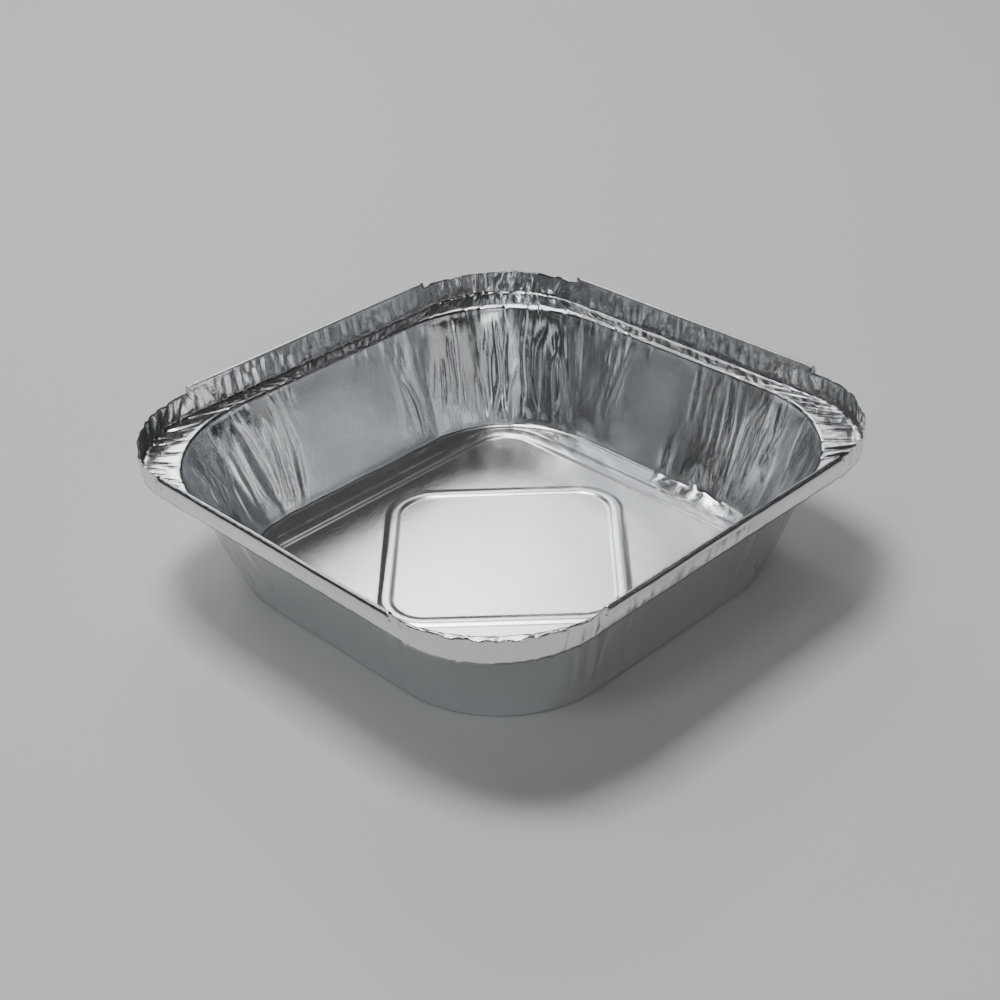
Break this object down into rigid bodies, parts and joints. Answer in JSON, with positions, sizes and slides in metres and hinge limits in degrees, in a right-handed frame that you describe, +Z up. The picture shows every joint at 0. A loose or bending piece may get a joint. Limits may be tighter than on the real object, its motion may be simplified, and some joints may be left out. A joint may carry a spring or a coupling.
{
  "type": "aluminium foil tray",
  "caption": "Square pressed-foil food tray with pleated rounded corners, a flat shelf for a lid and hemmed side flaps that stand up round it.",
  "frame": {"origin": "middle of the base, on the surface that the tray stands on", "axes": "+Z up out of the open side; +X and +Y square to the flat sides; the dented wall is the one on +Y"},
  "size_m": [0.2318, 0.2318, 0.0623],
  "materials": {
    "foil": "satin foil, brighter on the folded walls than on the floor"
  },
  "bodies": {
    "root": {"foil_tray": "foil"}
  },
  "joints": []
}
